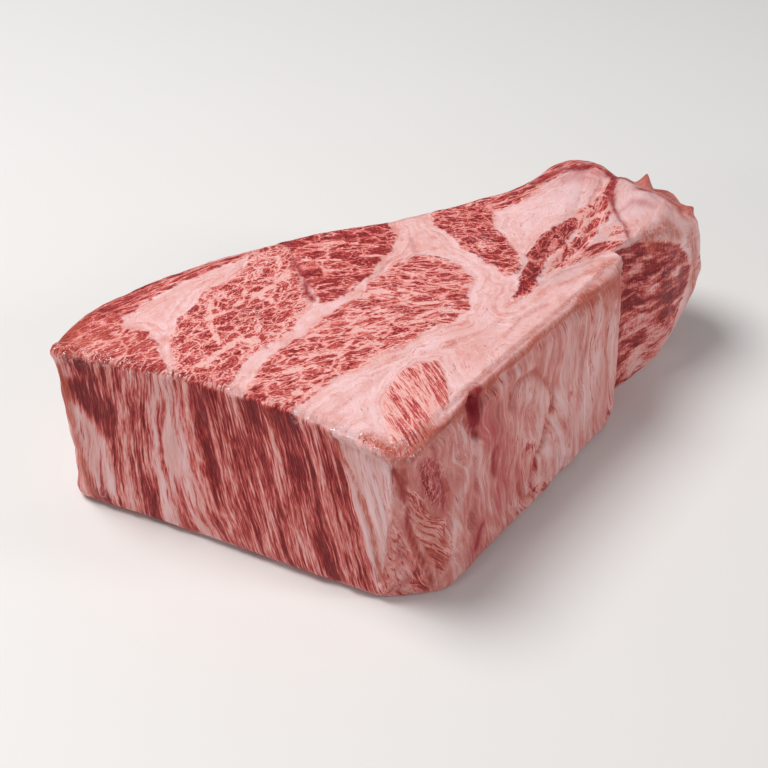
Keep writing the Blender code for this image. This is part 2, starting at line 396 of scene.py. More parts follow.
veins = [
    (1.0, (18, 83), (10, 76), (7, 71), (5, 67)),
    (0.8, (13, 77), (18, 75), (24, 76), (28, 79)),
    (1.1, (26, 75), (33, 74), (37, 75), (41, 74)),
    (0.8, (28, 74), (29, 70), (28, 63)),
    (0.8, (21, 68), (18, 64), (14, 62)),
    (1.3, (-5, 65), (4, 64.5), (10, 63.5), (12, 60)),
    (0.8, (46, 83), (43, 79), (39, 77)),
    (1.4, (38, 62), (31, 58), (25, 56)),
    (0.7, (49, 76), (55, 69), (61, 64.5), (66, 59)),
    (0.5, (51, 72), (50, 67), (51, 62), (51, 55)),
    (0.6, (60, 77), (64, 73), (66, 69), (69, 63)),
    (0.9, (1, 51), (5, 46), (9, 44), (13, 41), (15, 36)),
    (1.0, (14, 46), (19, 42), (23, 39), (29, 40)),
    (0.7, (21, 52), (24, 49), (27, 45), (32, 42)),
    (0.8, (33, 42), (36, 37), (39, 34)),
    (0.7, (26, 36), (31, 35), (33, 31)),
    (0.8, (2, 38), (8, 37), (13, 36)),
    (0.75, (50, 50), (56, 43), (59, 36)),
    (1.0, (48, 32), (51, 31), (55, 29.5), (57, 25)),
    (1.2, (53, 36), (57, 32)),
    (0.8, (63, 47), (65, 43), (65, 40)),
    (1.7, (46, 51), (47, 50)),
    (0.7, (100, 21), (106, 22)),
    (0.9, (118, 21), (123, 22), (127, 20)),
]

# The muscles that show in the side walls: outlines in X and Z, on the fat side and past the step

wallMuscles = {
    "cornerUpper": {
        "outline": [
            (6.5, 49.5), (11, 48.5), (14.5, 44), (16, 36), (15, 28), (11, 29.5), (8.5, 33), (6, 39.5),
        ],
        "angle": 62, "stretch": 1.6, "cell": 1.5, "fat": 0.2, "tone": 0.95,
    },
    "cornerLower": {
        "outline": [
            (1, 43), (6, 40), (10, 31), (15, 28), (15, 21), (13, 15), (11, 8), (8.5, 3), (7.5, 9),
            (5, 18.5), (2.8, 29),
        ],
        "angle": -60, "stretch": 8.0, "cell": 1.5, "fat": 0.36, "tone": 0.42,
    },
}
stepMuscle = {
    "outline": [
        (100, 56), (121, 51.5), (125, 52.5), (130, 51.5), (135, 49.5), (141, 45.5), (147, 39), (149, 32),
        (147.5, 25), (145.5, 18), (145, 9), (136, 6), (128, 3), (119, 0), (110, -3), (100, -2),
    ],
    "fat": (0.28, 0.54), "tone": 0.85,  # fat next to the step, and further on
}

# How much of the cut end is fat, by distance across its grain. Its patches lie in Y and Z.
cutEnd = {
    "bands": [
        (-6, 0.94), (10, 1.05), (19, 0.96), (24, 0.42), (32, 0.34), (44, 0.36), (46.5, 0.16), (49, 0.52),
        (53, 0.54), (56, 0.56), (59, 0.26), (63, 0.27), (66, 0.52), (69, 0.8), (74, 0.84), (77.5, 0.36),
        (84, 0.46), (91, 0.4), (94, 0.68), (104, 0.78),
    ],
    "patches": [
        {"fat": 0.02, "outline": [(96, 52), (90.5, 54), (85, 53), (86, 47), (90, 45), (92, 47.5)]},
        {
            "fat": 0.06,
            "outline": [
                (100, 46), (93.4, 46), (90, 44), (87, 42), (86, 36), (86.5, 30), (90, 29), (92, 34),
                (94, 38), (98, 41),
            ],
        },
        {"fat": 0.9, "outline": [(98, 38), (93, 33), (89, 28), (86, 6), (97, 5), (97.5, 24)]},
        {"fat": 0.45, "outline": [(3, 26), (-1, 30), (-6, 8), (-2, 2), (3, 8)]},
    ],
}

# Where the fold at the corner runs down the fat side: Z and X
cornerFold = [(0, 9.0), (5.5, 7.9), (16, 5.6), (27, 2.7), (37, 1.9), (44, 0.9), (55, 0.0)]

grainLean = {"slope": 0.27, "from": 45.0, "to": 80.0}  # the grain leans towards the fat side, going down
grainStretch = 9.0  # how much longer than wide the marbling is along the grain


def sectionPlace(points, thickness):
    # where the grain through each point meets the upper cut face
    x, y, z = points.T
    lean = grainLean["slope"] * (1.0 - ease(grainLean["from"], grainLean["to"], y))
    return x, y + lean * np.clip(thickness - z, 0.0, thickness)


def fleckPlace(muscle, x, y, along):
    # place counted in flecks, along and across the marbling
    angle = math.radians(muscle["angle"])
    run = x * math.cos(angle) + y * math.sin(angle)
    side = y * math.cos(angle) - x * math.sin(angle)
    cell = muscle["cell"]
    return np.stack([run / (cell * muscle["stretch"]), side / cell, along / (cell * grainStretch)], axis=-1)


def takeMuscle(fields, muscle, depth, place):
    # where a muscle lies deeper than what is there, it gives its own marbling
    won = depth > fields["leanDepth"]
    fields["leanDepth"][won] = depth[won]
    fields["fleck"][won] = place[won]
    fields["fatShare"][won] = muscle["fat"]
    fields["tone"][won] = muscle["tone"]


# Fat in the walls: shares of fat, and patches as (how much they change it, their size in millimetres)

wallLook = {
    "endFat": (0.92, 0.35),  # the narrow end, outside its muscles and in them
    "skinFat": 0.62,
    "skinPatches": (0.34, 15.0),
    "skinSpecks": (0.2, 5.0),
    "capFat": 0.93,
    "capPatches": (0.07, 14.0),
    "foldFat": 0.74,
    "foldStreaks": (0.22, 2.6),
    "patchEdge": 2.2,  # half width of the soft rim of the cut end's patches
    "streakFat": (0.22, 5.0),
    "lensFat": (0.34, 1.2),  # the short pale streaks past the step
    "cutTone": 0.95,
    "deepest": 12.0,  # fat further than this from a muscle looks the same
    "outside": -30.0,
}


def cutFaceFields(section, z):
    # how far inside its muscle each point is, and that muscle's marbling
    sectionX, sectionY = section[:, 0], section[:, 1]
    ragged = 0.8 * softNoise(section, 4.5, 1) + 0.5 * softNoise(section, 1.8, 2)
    fields = {
        "leanDepth": np.full(len(z), wallLook["outside"]),
        "fleck": fleckPlace(muscles["eyeA"], sectionX, sectionY, z),
        "fatShare": np.full(len(z), 0.5),
        "tone": np.full(len(z), 0.5),
        "section": section,
        "contour": np.full(len(z), wallLook["outside"]),
    }
    for muscle in muscles.values():
        depth = depthInside(sectionX, sectionY, muscle["outline"])
        fields["contour"] = np.maximum(fields["contour"], depth)
        takeMuscle(fields, muscle, depth + ragged, fleckPlace(muscle, sectionX, sectionY, z))
    vein = np.full(len(z), -9.0)
    for halfWidth, *path in veins:
        vein = np.maximum(vein, halfWidth - distanceToPath(sectionX, sectionY, path))
    fields["veinDepth"] = np.clip(vein, -4.0, 3.0)
    return fields


def wallShares(form, points, normals):
    # how much each point belongs to each wall
    x, z = points[:, 0], points[:, 2]
    turnX, turnY, turnZ = normals.T
    fatSide = ease(0.3, 0.7, -turnY)
    pastStep = ease(-0.5, 0.5, x - between(form["stepFoot"], form["stepTop"], z / form["thickness"]))
    stepWall = ease(0.05, 0.3, -turnY) * pastStep
    return {
        "steep": ease(0.35, 0.75, 1.0 - np.abs(turnZ)),
        "cutEnd": ease(0.3, 0.6, -turnX),
        "fatSide": fatSide,
        "skinSide": ease(0.3, 0.7, turnY) * (1.0 - ease(140.0, 150.0, x)),
        "cap": fatSide * (1.0 - pastStep),
        "stepWall": stepWall,
        "past": ((stepWall > 0.5) & (turnX < 0.75)) * 1.0,
    }


def patchNoise(points, patches, seed):
    amount, size = patches
    return amount * softNoise(points, size, seed)


def wallFatShare(points, sectionY, cutDepth, walls, wander):
    # how much of each wall is fat, before its streaks
    x, y, z = points.T
    look = wallLook
    share = np.interp(sectionY + wander, *zip(*cutEnd["bands"]))
    for patch in cutEnd["patches"]:
        inPatch = ease(-look["patchEdge"], look["patchEdge"], depthInside(y, z, patch["outline"]) + wander)
        share = between(share, patch["fat"], inPatch)
    endShare = between(*look["endFat"], ease(-1.0, 1.0, cutDepth) * ease(30.0, 45.0, z))
    skinShare = look["skinFat"] + patchNoise(points * [0.6, 0.6, 1.0], look["skinPatches"], 24)
    skinShare = skinShare + patchNoise(points, look["skinSpecks"], 25)
    stepDepth = depthInside(x, z, stepMuscle["outline"]) + 0.6 * wander
    stepShare = between(*stepMuscle["fat"], ease(110.0, 124.0, x))
    wallFat = between(endShare, skinShare, walls["skinSide"])
    wallFat = between(wallFat, between(1.0, stepShare, ease(-0.7, 0.7, stepDepth)), walls["stepWall"])
    wallFat = between(wallFat, look["capFat"] + patchNoise(points, look["capPatches"], 23), walls["cap"])
    wallFat = between(wallFat, share, walls["cutEnd"] * (1.0 - walls["fatSide"]))
    beforeFold = ease(-1.0, 1.0, np.interp(z, *zip(*cornerFold)) - x) * walls["cap"]
    foldShare = look["foldFat"] + patchNoise(points * [1.0, 1.0, 0.2], look["foldStreaks"], 33)
    return between(wallFat, foldShare, beforeFold)


def takeWallMuscles(fields, points, walls, wander):
    # small muscles in the fat side keep a marbling of their own there
    x, y, z = points.T
    onPatch = np.zeros(len(x))
    hidden = walls["cap"] * ease(0.2, 0.6, walls["steep"])
    fields["leanDepth"] = between(fields["leanDepth"], -6.0, hidden)
    swirl = 1.6 * softNoise(points, 7.0, 29)
    for muscle in wallMuscles.values():
        depth = 0.5 * (depthInside(x, z, muscle["outline"]) + 1.4 * wander)
        depth = np.where(walls["cap"] > 0.3, np.minimum(depth, 0.7), wallLook["outside"])
        onPatch = np.maximum(onPatch, ease(-1.5, 0.0, depth) * ease(0.3, 0.6, walls["cap"]))
        takeMuscle(fields, muscle, depth, fleckPlace(muscle, x + swirl, z + 0.5 * swirl, y))
    return onPatch


def streakPlace(form, points, normals, sectionY, walls, wander):
    # the fibres' streaks on the walls run down the grain, and slant past the step
    x, y, z = points.T
    onCap, past = walls["cap"], walls["past"]
    alongSide = grainLean["slope"] * (form["thickness"] - z) * (1.0 - ease(0.0, 40.0, x)) - x
    across = between(alongSide, x + 128.0, ease(-0.3, 0.3, normals[:, 1]))
    across = between(across, sectionY, ease(0.25, 0.75, -normals[:, 0]))
    across = between(across, 329.0 - y, ease(0.25, 0.75, normals[:, 0]) * ease(143.0, 149.0, x))
    swirly = 1.0 - 0.7 * ease(40.0, 75.0, x)
    awayFromFold = ease(3.0, 12.0, x)
    bend = awayFromFold * (4.0 * softNoise(points, 18.0, 26) + 2.2 * swirly * softNoise(points, 7.0, 30))
    across = across + bend * onCap
    across = between(across, 0.36 * z + 0.07 * (x - 128.0) * ease(30.0, 48.0, z), past)
    curl = awayFromFold * 14.0 * swirly * softNoise(points, 9.0, 34)
    run = between(z, z * between(3.6, 1.8, ease(50.0, 90.0, x)) + curl, onCap)
    run = between(run, 1.9 * x, past)
    return np.stack([across + wander * (1.0 - 0.65 * past), run / 20.0, (x + y) / 26.0], axis=-1)


def fatBlushAndRimShade(points, normals, walls):
    # pink in the fat, stronger beside the front corner; on the narrow end's rim, which faces away from the
    # key light, it is partly painted shade that darkens the fat
    x = points[:, 0]
    # the narrow end's rim, picked by which way it faces: painted shade there, with some pink
    shadedRim = ease(0.1, 0.6, normals[:, 0]) * ease(140.0, 150.0, x)
    blushAndRimShade = walls["cap"] * (0.75 - 0.40 * ease(20.0, 80.0, x) + 0.3 * softNoise(points, 12.0, 31))
    return blushAndRimShade + shadedRim * (0.7 + 0.4 * softNoise(points, 9.0, 35))


def meatFields(form, points, normals):
    # the values at each point that the shader reads
    x, y, z = points.T
    sectionX, sectionY = sectionPlace(points, form["thickness"])
    wander = 1.3 * softNoise(points * [1.0, 1.0, 0.35], 9.0, 21)
    wander = wander + 0.5 * softNoise(points * [1.0, 1.0, 0.5], 3.5, 22)
    fields = cutFaceFields(np.stack([sectionX, sectionY, z / grainStretch], axis=-1), z)
    walls = wallShares(form, points, normals)
    past, steep = walls["past"], walls["steep"]
    wallFat = wallFatShare(points, sectionY, fields["leanDepth"], walls, wander)
    wallTone = between(0.5, stepMuscle["tone"], walls["stepWall"])
    wallTone = between(wallTone, wallLook["cutTone"], walls["cutEnd"])
    onPatch = takeWallMuscles(fields, points, walls, wander)
    streak = streakPlace(form, points, normals, sectionY, walls, wander)
    ridge = softNoise(streak * [1.0, 1.6, 1.6], 2.6, 27) + 0.45 * softNoise(streak * [1.0, 2.2, 2.2], 1.3, 28)
    pale = patchNoise(streak * [1.0, 2.5, 2.0], wallLook["streakFat"], 32)
    wallFat = wallFat + pale * (1.0 - ease(0.6, 0.85, wallFat))
    lens = patchNoise(streak * [1.0, 1.3, 1.0], wallLook["lensFat"], 36)
    wallFat = wallFat + lens * past * (1.0 - ease(0.75, 0.95, wallFat))
    wallFleck = np.stack([x / 10.0, z / 2.6, y / 10.0], axis=-1)
    fields["tone"] = between(fields["tone"], wallTone, steep * (1.0 - onPatch))
    fields["leanDepth"] = np.clip(fields["leanDepth"], -wallLook["deepest"], 6.0)
    fields["fleck"] = between(fields["fleck"], wallFleck, (past * (steep > 0.6))[:, None])
    fields["wallFat"] = wallFat
    fields["streak"] = streak
    fields["ridge"] = ridge
    fields["upright"] = steep * (1.0 - onPatch)
    fields["blushAndRimShade"] = fatBlushAndRimShade(points, normals, walls)
    return fields


# Marks that the shader paints in, by the face that they are on: half width, how strong, and a path in the
# plane of the face. That is X and Z for the side, X and Y for the top, Y and Z for the front and the end.

marks = {
    "pale": {  # whitish fat
        "side": [
            (3.5, 0.7, (17, 54), (22, 51), (24, 46)),
            (1.9, 1.1, (28.5, 37.4), (24, 35.8), (21.6, 32), (18.7, 26.4), (15.5, 21), (14, 14)),
            (3.2, 0.8, (51, 43), (59, 40), (64, 33), (61, 28)),
            (2.0, 0.9, (72, 38), (71, 31), (69, 24), (68, 17)),
            (2.6, 0.8, (60, 15.7), (67.6, 11.5), (73, 5.7), (62.5, 7)),
            (2.4, 0.7, (28, 23), (32, 15), (43, 8), (36, 5), (29, 10)),
            (2.0, 0.9, (19, 12), (17, 4)),
            (2.2, 0.6, (93, 48), (91, 30), (88, 12)),
            (1.6, 0.6, (104, 40), (103, 20)),
            (2.6, 0.6, (80, 50), (77, 42)),
        ],
        "top": [
            (2.0, 0.7, (4, 24), (14, 22), (30, 23), (44, 22)),
            (5.0, 0.9, (134, 12), (142, 11), (148, 14)),
            (6.0, 0.7, (108, 37), (119, 34), (131, 33)),
        ],
    },
    "flush": {  # wine red, soft
        "side": [
            (3.2, 0.75, (32, 47), (35, 39), (40, 31), (41, 22), (37, 12)),
            (1.6, 1.3, (39, 32), (38, 26)),
            (2.6, 0.6, (9, 46), (12, 40), (13, 31)),
            (2.0, 0.9, (28, 13), (24, 7.5)),
            (3.5, 0.4, (47, 20), (50, 10)),
        ],
        "top": [
            (1.7, 0.45, (134, 37), (136, 35.5), (137.5, 31.7), (139.7, 28.4)),
            (1.6, 0.45, (141, 30.5), (145, 28)),
            (1.5, 0.55, (132, 14), (136.6, 13.2), (138.7, 9.6), (138.2, 7)),
        ],
    },
    "stain": {  # brown and orange
        "side": [
            (1.5, 2.3, (12, 53.5), (30, 52.5), (48, 53.5), (73, 53), (92, 53), (108, 51.2)),
            (3.2, 2.2, (86, 53), (95, 51), (102, 49), (108, 45)),
            (2.4, 1.0, (97, 46), (105, 39)),
            (0.9, 1.9, (64, 22.7), (60.8, 18), (56.8, 15.5), (54.4, 12.3)),
            (0.8, 1.5, (46.7, 40.6), (48, 44), (51.4, 46.8), (60.4, 44), (67, 35), (68.3, 29.6),
             (67, 25.6)),
            (0.8, 1.6, (46.6, 14), (46.9, 11), (49, 7), (54, 4.5)),
            (1.4, 0.9, (84, 44), (81, 22)),
            (1.0, 0.9, (99, 46), (98, 20)),
            (0.9, 0.8, (76, 34), (74, 14)),
            (2.2, 1.0, (0, 54), (6, 53), (12, 54)),
            (0.6, 1.9, (0, 50), (1, 44), (2, 37), (2.7, 27), (5.6, 16), (8, 5)),
            (0.8, 1.2, (16.6, 37), (15.6, 28.6), (11.5, 22), (9, 15)),
            (3.4, 0.8, (3, 36), (7, 26), (10, 12)),
            (2.5, 0.8, (8, 4), (12, 6)),
            (1.8, 1.4, (127, 52.6), (131, 53), (136, 53), (141, 49.5), (142.6, 47)),
            (2.0, 1.0, (129, 50), (132, 48.5)),
            (2.2, 1.4, (151, 44), (152, 36), (152.5, 24), (152, 12)),
        ],
        "front": [
            (0.7, 2.1, (22, 53), (15, 41), (9, 27), (6, 8)),
            (1.4, 1.9, (100, 50), (99, 40), (98.3, 30), (97.3, 14), (95.7, 5)),
            (1.8, 1.2, (8, 53), (2, 51), (0, 46)),
        ],
        "top": [
            (2.6, 1.3, (1, 12), (0, 5), (6, 1.5), (11, 1)),
            (2.6, 1.2, (-8, 106), (-22, 101), (-25, 92)),
            (2.2, 0.8, (-21, 99), (-13, 96), (-8, 86)),
            (0.7, 0.6, (2, 25), (12, 24.5), (24, 24)),
            (0.7, 0.8, (44, 19), (52, 15), (62, 13)),
            (0.7, 1.2, (36, 22), (40, 19), (45, 17)),
            (0.7, 0.8, (56, 8), (66, 9), (76, 7)),
            (1.0, 1.0, (86, 9), (98, 5), (107, 3)),
            (1.0, 1.0, (22, 3), (40, 3), (64, 2.7), (88, 2.2), (107, 3)),
            (1.8, 1.7, (146.6, 15.6), (150, 13), (153, 10), (153.5, 6), (150, 2.8)),
            (1.6, 1.2, (127.4, 2.7), (131.2, 1.6), (136.3, 0.9)),
        ],
        "end": [
            (2.4, 1.9, (19, 47.5), (12.4, 48), (8, 48.2), (3, 47)),
            (1.6, 0.8, (-1, 40), (-3, 26), (-4, 10)),
        ],
    },
    "blood": {  # dark red
        "side": [
            (0.45, 0.8, (0, 50), (1, 44), (2, 37), (2.7, 27), (5.6, 16), (8, 5)),
            (1.8, 1.6, (33, 53), (32, 49), (31, 46)),
            (0.7, 1.0, (27, 48.5), (30.5, 43), (31.5, 39.5)),
            (0.8, 0.8, (39, 32), (37.2, 29), (37.2, 23)),
            (0.8, 0.9, (28, 13), (26, 11), (24, 7.5)),
            (1.3, 0.8, (12, 42), (13.5, 36), (12, 31)),
            (0.7, 0.7, (14, 52.5), (22, 54), (30, 53)),
            (1.0, 1.1, (121.8, 51.5), (124, 51), (124.5, 49)),
            (1.6, 0.6, (137, 44), (141, 42)),
            (1.4, 0.9, (144, 34), (145.3, 28)),
        ],
        "front": [
            (0.7, 0.5, (2.5, 25), (1.5, 17)),
            (1.0, 0.5, (0, 9), (2, 5)),
        ],
        "top": [
            (1.0, 1.0, (48, 78), (44, 71), (39, 65), (37, 61)),
            (1.0, 0.9, (163, 29), (150, 26), (143, 24), (137.5, 21.6), (132, 17.2), (128, 12.7),
             (125.7, 9.3), (121.5, 6.2)),
            (1.2, 0.9, (128, 44.5), (136.4, 40.2), (138.8, 36.2), (141, 33.3)),
            (1.4, 1.1, (146, 27), (148.1, 23.8), (149.5, 20)),
            (1.8, 1.2, (146, 14.5), (150, 12), (152.5, 8), (152, 4.5)),
        ],
        "end": [
            (1.0, 0.7, (16, 49), (9, 49), (4, 48)),
        ],
    },
    "vessel": {  # grey violet
        "top": [
            # these two follow the fine crease listed under the top reliefs: their dark violet is partly
            # painted crease shade
            (0.6, 0.45, (65, 56), (61, 55)),
            (0.6, 0.3, (60, 54.6), (55, 53)),
            (0.6, 0.35, (79, 57.5), (75, 53.5), (72, 50.5)),
            (0.7, 0.3, (146, 12.5), (143.5, 10.5), (142, 6.3), (143.7, 3.5)),
        ],
    },
}

# Creases and swellings of the surface: half width, height, and a path in the plane of their face
reliefs = {
    "side": [
        (0.8, -0.5, (0, 50), (1, 44), (2, 37), (2.7, 27), (5.6, 16), (8, 5)),
        (4.0, 1.3, (9, 38), (11, 26), (12, 14)),
        (1.0, -0.9, (16.6, 40), (15.8, 28), (12, 21)),
        (1.2, -1.35, (27, 48), (30, 42), (29, 30), (23, 16)),
        (2.6, 1.2, (23, 44), (22, 32), (18, 20)),
        (2.5, 1.35, (40, 50), (41, 36)),
        (1.0, -1.05, (47, 40), (48, 44), (51.4, 47), (60.4, 44), (67, 35), (68, 29), (66, 25)),
        (4.0, 1.2, (53, 40), (60, 38), (62, 30)),
        (0.9, -1.05, (64, 22.7), (60.8, 18), (56.8, 15.5), (54.4, 12.3)),
        (0.9, -0.9, (46.6, 14), (46.9, 11), (49, 7), (54, 4.5)),
        (1.3, -0.9, (12, 52), (48, 51.5), (92, 51), (108, 49)),
        (1.2, 0.75, (5, 52.5), (28, 55), (60, 55), (108, 53)),
        (1.2, -0.6, (84, 46), (81, 20)),
        (1.0, -0.52, (99, 47), (98, 20)),
    ],
    "front": [
        (0.7, -0.4, (22, 53), (15, 41), (9, 27), (6, 8)),
        (2.0, 0.5, (1.5, 48), (2, 28), (2, 6)),
        (1.6, 0.9, (2, 53), (12, 54), (21, 54)),
        (0.9, -0.5, (1, 49.5), (10, 50.5), (21, 51.5)),
    ],
    "top": [
        (1.2, -0.45, (48, 78), (44, 71), (39, 65), (37, 61)),
        (0.8, -0.2, (66, 56.5), (60, 54.5), (54, 53)),
        (1.3, -0.5, (155, 27), (143, 24), (137.5, 21.6), (132, 17.2), (128, 12.7), (125.7, 9.3),
         (121.5, 6.2)),
    ],
}


def facePlanes(points, normals):
    # for each face: the points' place in its plane, and how much they belong to it
    x, y, z = points.T
    return {
        "top": (x, y, ease(0.2, 0.6, normals[:, 2])),
        "side": (x, z, ease(0.2, 0.5, -normals[:, 1])),
        "front": (y, z, ease(0.3, 0.6, -normals[:, 0])),
        "end": (y, z, ease(0.1, 0.5, normals[:, 0])),
    }


def markField(kind, points, normals):
    planes = facePlanes(points, normals)
    wander = 0.6 * softNoise(points, 3.0, 8) + 0.5 * softNoise(points, 6.0, 9)
    total = np.zeros(len(points))
    for face, rows in marks[kind].items():
        across, up, facing = planes[face]
        for halfWidth, amount, *path in rows:
            away = distanceToPath(across, up, path) + wander * min(2.0, 0.8 * halfWidth)
            total = np.maximum(total, amount * bell(away, 0.0, halfWidth) * facing)
    return total


# Loose tags of meat at the narrow end: where each starts, which way it points, and how wide it is
tags = [
    {"at": (156.5, 19.0, 50.5), "reach": (3.0, 1.0, 5.0), "width": 4.2, "stain": 0.7},
    {"at": (156.0, 3.5, 47.0), "reach": (4.4, -1.8, 1.6), "width": 3.8, "stain": 1.8},
    {"at": (155.0, -2.5, 29.0), "reach": (2.4, -1.6, 0.0), "width": 4.5, "stain": 0.6},
    {"at": (-22.5, 101.0, 54.5), "reach": (-1.0, 1.5, 1.2), "width": 2.5, "stain": 0.8},
]


def pullTags(points):
    pulled = points.copy()
    colour = np.zeros(len(points))
    for tag in tags:
        away = np.linalg.norm(points - tag["at"], axis=1) / tag["width"]
        pull = np.clip(1.0 - away, 0.0, 1.0) ** 1.6
        pulled += pull[:, None] * tag["reach"]
        colour = np.maximum(colour, tag["stain"] * ease(1.3, 0.5, away))
    return pulled, colour


# Small wet places that catch the light: centre and radius
wetSpots = [
    (-23, 97, 55, 3.5), (-22, 93, 55, 3), (-19, 88, 55.5, 3), (-16, 80, 55, 2.5), (-14, 76, 55, 2.5),
    (-11, 67, 55, 2.5), (-7, 51, 54, 2), (-3, 31, 54, 2.5), (-2, 19, 54, 3), (-1, 12, 54.5, 3.5),
    (0, 6, 54.5, 4.5), (6, 1.5, 54, 4.5), (11, 1, 53, 3), (6, -3, 10, 1.5), (9, -4, 5, 2),
    (-25, 93, 6.5, 2.5), (-18, 68, 6, 1.5), (55, -2, 35, 2), (57, -2, 38, 1.5), (65, -3.5, 27, 1.5),
    (65, -4, 14, 1.5), (60, -7.5, 7, 2.5), (52, -7, 10, 2), (44, -2, 47, 1.5), (30, -1.5, 40, 1.5),
    (55, 28, 55, 3), (20, 70, 55, 4), (92, 40, 55, 3), (137, 0, 51, 1.8), (136, -0.5, 49, 1.8),
    (134, 0.5, 51.5, 1.5), (135, -3.3, 38, 1.2), (118, 5, 45, 1), (119.5, 4.5, 50.5, 1.5),
    (146, -4, 30, 1.2), (157, 10, 50, 3),
]


def wetField(points):
    total = np.zeros(len(points))
    for x, y, z, radius in wetSpots:
        total = np.maximum(total, bell(np.linalg.norm(points - [x, y, z], axis=1), 0.0, radius))
    return total


# Shader helpers

def addNode(tree, kind, inputs, **settings):
    node = tree.nodes.new(kind)
    for name, value in settings.items():
        setattr(node, name, value)
    for socket, value in inputs.items():
        if isinstance(value, bpy.types.NodeSocket):
            tree.links.new(value, node.inputs[socket])
        else:
            node.inputs[socket].default_value = value
    return node


def readField(tree, name, output="Fac"):
    return addNode(tree, "ShaderNodeAttribute", {}, attribute_name=name).outputs[output]


def compute(tree, operation, a, b=0.0, c=0.0):
    return addNode(tree, "ShaderNodeMath", {0: a, 1: b, 2: c}, operation=operation).outputs[0]


def plus(tree, a, b):
    return compute(tree, "ADD", a, b)


def times(tree, a, b):
    return compute(tree, "MULTIPLY", a, b)


def timesPlus(tree, a, factor, b):
    return compute(tree, "MULTIPLY_ADD", a, factor, b)


def offMiddle(tree, noise):
    # how far a noise is from its middle, so that low values make lines
    return compute(tree, "ABSOLUTE", compute(tree, "SUBTRACT", noise, 0.5))


def scaled(tree, vector, factors):
    return addNode(tree, "ShaderNodeVectorMath", {0: vector, 1: factors}, operation="MULTIPLY").outputs[0]


def noiseAt(tree, vector, scale, detail=2.0, rough=0.5):
    sockets = {"Vector": vector, "Scale": scale, "Detail": detail, "Roughness": rough}
    return addNode(tree, "ShaderNodeTexNoise", sockets).outputs["Fac"]


def warped(tree, vector, scale, amount, detail=2.0):
    noise = addNode(tree, "ShaderNodeTexNoise", {"Vector": vector, "Scale": scale, "Detail": detail})
    shift = addNode(
        tree, "ShaderNodeVectorMath", {0: noise.outputs["Color"], 1: (0.5, 0.5, 0.5)}, operation="SUBTRACT"
    )
    moved = scaled(tree, shift.outputs[0], (amount, amount, amount))
    return addNode(tree, "ShaderNodeVectorMath", {0: vector, 1: moved}, operation="ADD").outputs[0]


def cellEdge(tree, vector, scale, randomness=1.0):
    sockets = {"Vector": vector, "Scale": scale, "Randomness": randomness}
    return addNode(tree, "ShaderNodeTexVoronoi", sockets, feature="DISTANCE_TO_EDGE").outputs["Distance"]


def band(tree, value, low, high, toLow=0.0, toHigh=1.0):
    sockets = {"Value": value, "From Min": low, "From Max": high, "To Min": toLow, "To Max": toHigh}
    return addNode(tree, "ShaderNodeMapRange", sockets, interpolation_type="SMOOTHSTEP").outputs["Result"]


def blendValue(tree, share, a, b):
    return addNode(tree, "ShaderNodeMix", {0: share, 2: a, 3: b}, data_type="FLOAT").outputs[0]


def ramp(tree, value, stops):
    node = addNode(tree, "ShaderNodeValToRGB", {"Fac": value})
    elements = node.color_ramp.elements
    for element, (place, colour) in zip((elements[0], elements[1]), (stops[0], stops[-1])):
        element.position = place
        element.color = (*colour, 1.0)
    for place, colour in stops[1:-1]:
        elements.new(place).color = (*colour, 1.0)
    return node.outputs["Color"]


def blendColour(tree, share, a, b, mode="MIX"):
    def asColour(value):
        return value if isinstance(value, bpy.types.NodeSocket) else (*value, 1.0)

    sockets = {0: share, 6: asColour(a), 7: asColour(b)}
    return addNode(tree, "ShaderNodeMix", sockets, data_type="RGBA", blend_type=mode).outputs[2]


meatLook = {
    "leanDeep": (0.20, 0.014, 0.018),
    "leanDark": (0.38, 0.036, 0.034),
    "leanMiddle": (0.60, 0.105, 0.094),
    "leanPink": (0.77, 0.240, 0.215),
    "thread": (0.87, 0.490, 0.455),
    "fatDeep": (0.50, 0.125, 0.115),
    "fatPink": (0.70, 0.240, 0.215),
    "fatMiddle": (0.82, 0.455, 0.430),
    "fatPale": (0.90, 0.590, 0.600),
    "brown": (0.53, 0.100, 0.058),
    "flush": (0.58, 0.105, 0.110),
    "blood": (0.32, 0.018, 0.028),
    # grey violet lines, partly painted shade where they lie in a crease
    "vessel": (0.42, 0.120, 0.125),
    "shine": 0.18,
    "subsurface": 0.15,
    "subsurfaceReach": (1.0, 0.35, 0.25),
    "subsurfaceScale": 0.0008,
    "coatRoughness": 0.08,
    "coatIor": 1.9,
    "beadsPerMetre": 900.0,
    "grainHeight": 0.0005,  # metres
    "beadHeight": 0.0009,
}

# The marbling's threads: their size, how much a higher share of fat widens them, where they fade, how strong
threadLook = {
    "coarse": {"noise": (0.65, 3.0, 0.6), "widen": -0.035, "fade": (-0.016, 0.034), "strength": 1.0},
    "fine": {"noise": (1.7, 2.0, 0.6), "widen": -0.030, "fade": (-0.020, 0.045), "strength": 0.60},
    "net": {"scale": 0.62, "widen": -0.06, "fade": (-0.03, 0.09), "strength": 0.85},
    "pools": (0.80, 1.02),
    "rim": (0.2, 2.6, 0.22, 0.0),  # a little more fat next to the muscle's edge
}


def readFields(tree):
    numbers = (
        "leanDepth", "fatShare", "tone", "upright", "blushAndRimShade", "wallFat", "ridge", "contour", "veinDepth",
        "pale", "flush", "stain", "blood", "vessel", "wet",
    )
    read = {name: readField(tree, name) for name in numbers}
    read.update({name: readField(tree, name, "Vector") for name in ("section", "fleck", "streak")})
    return read


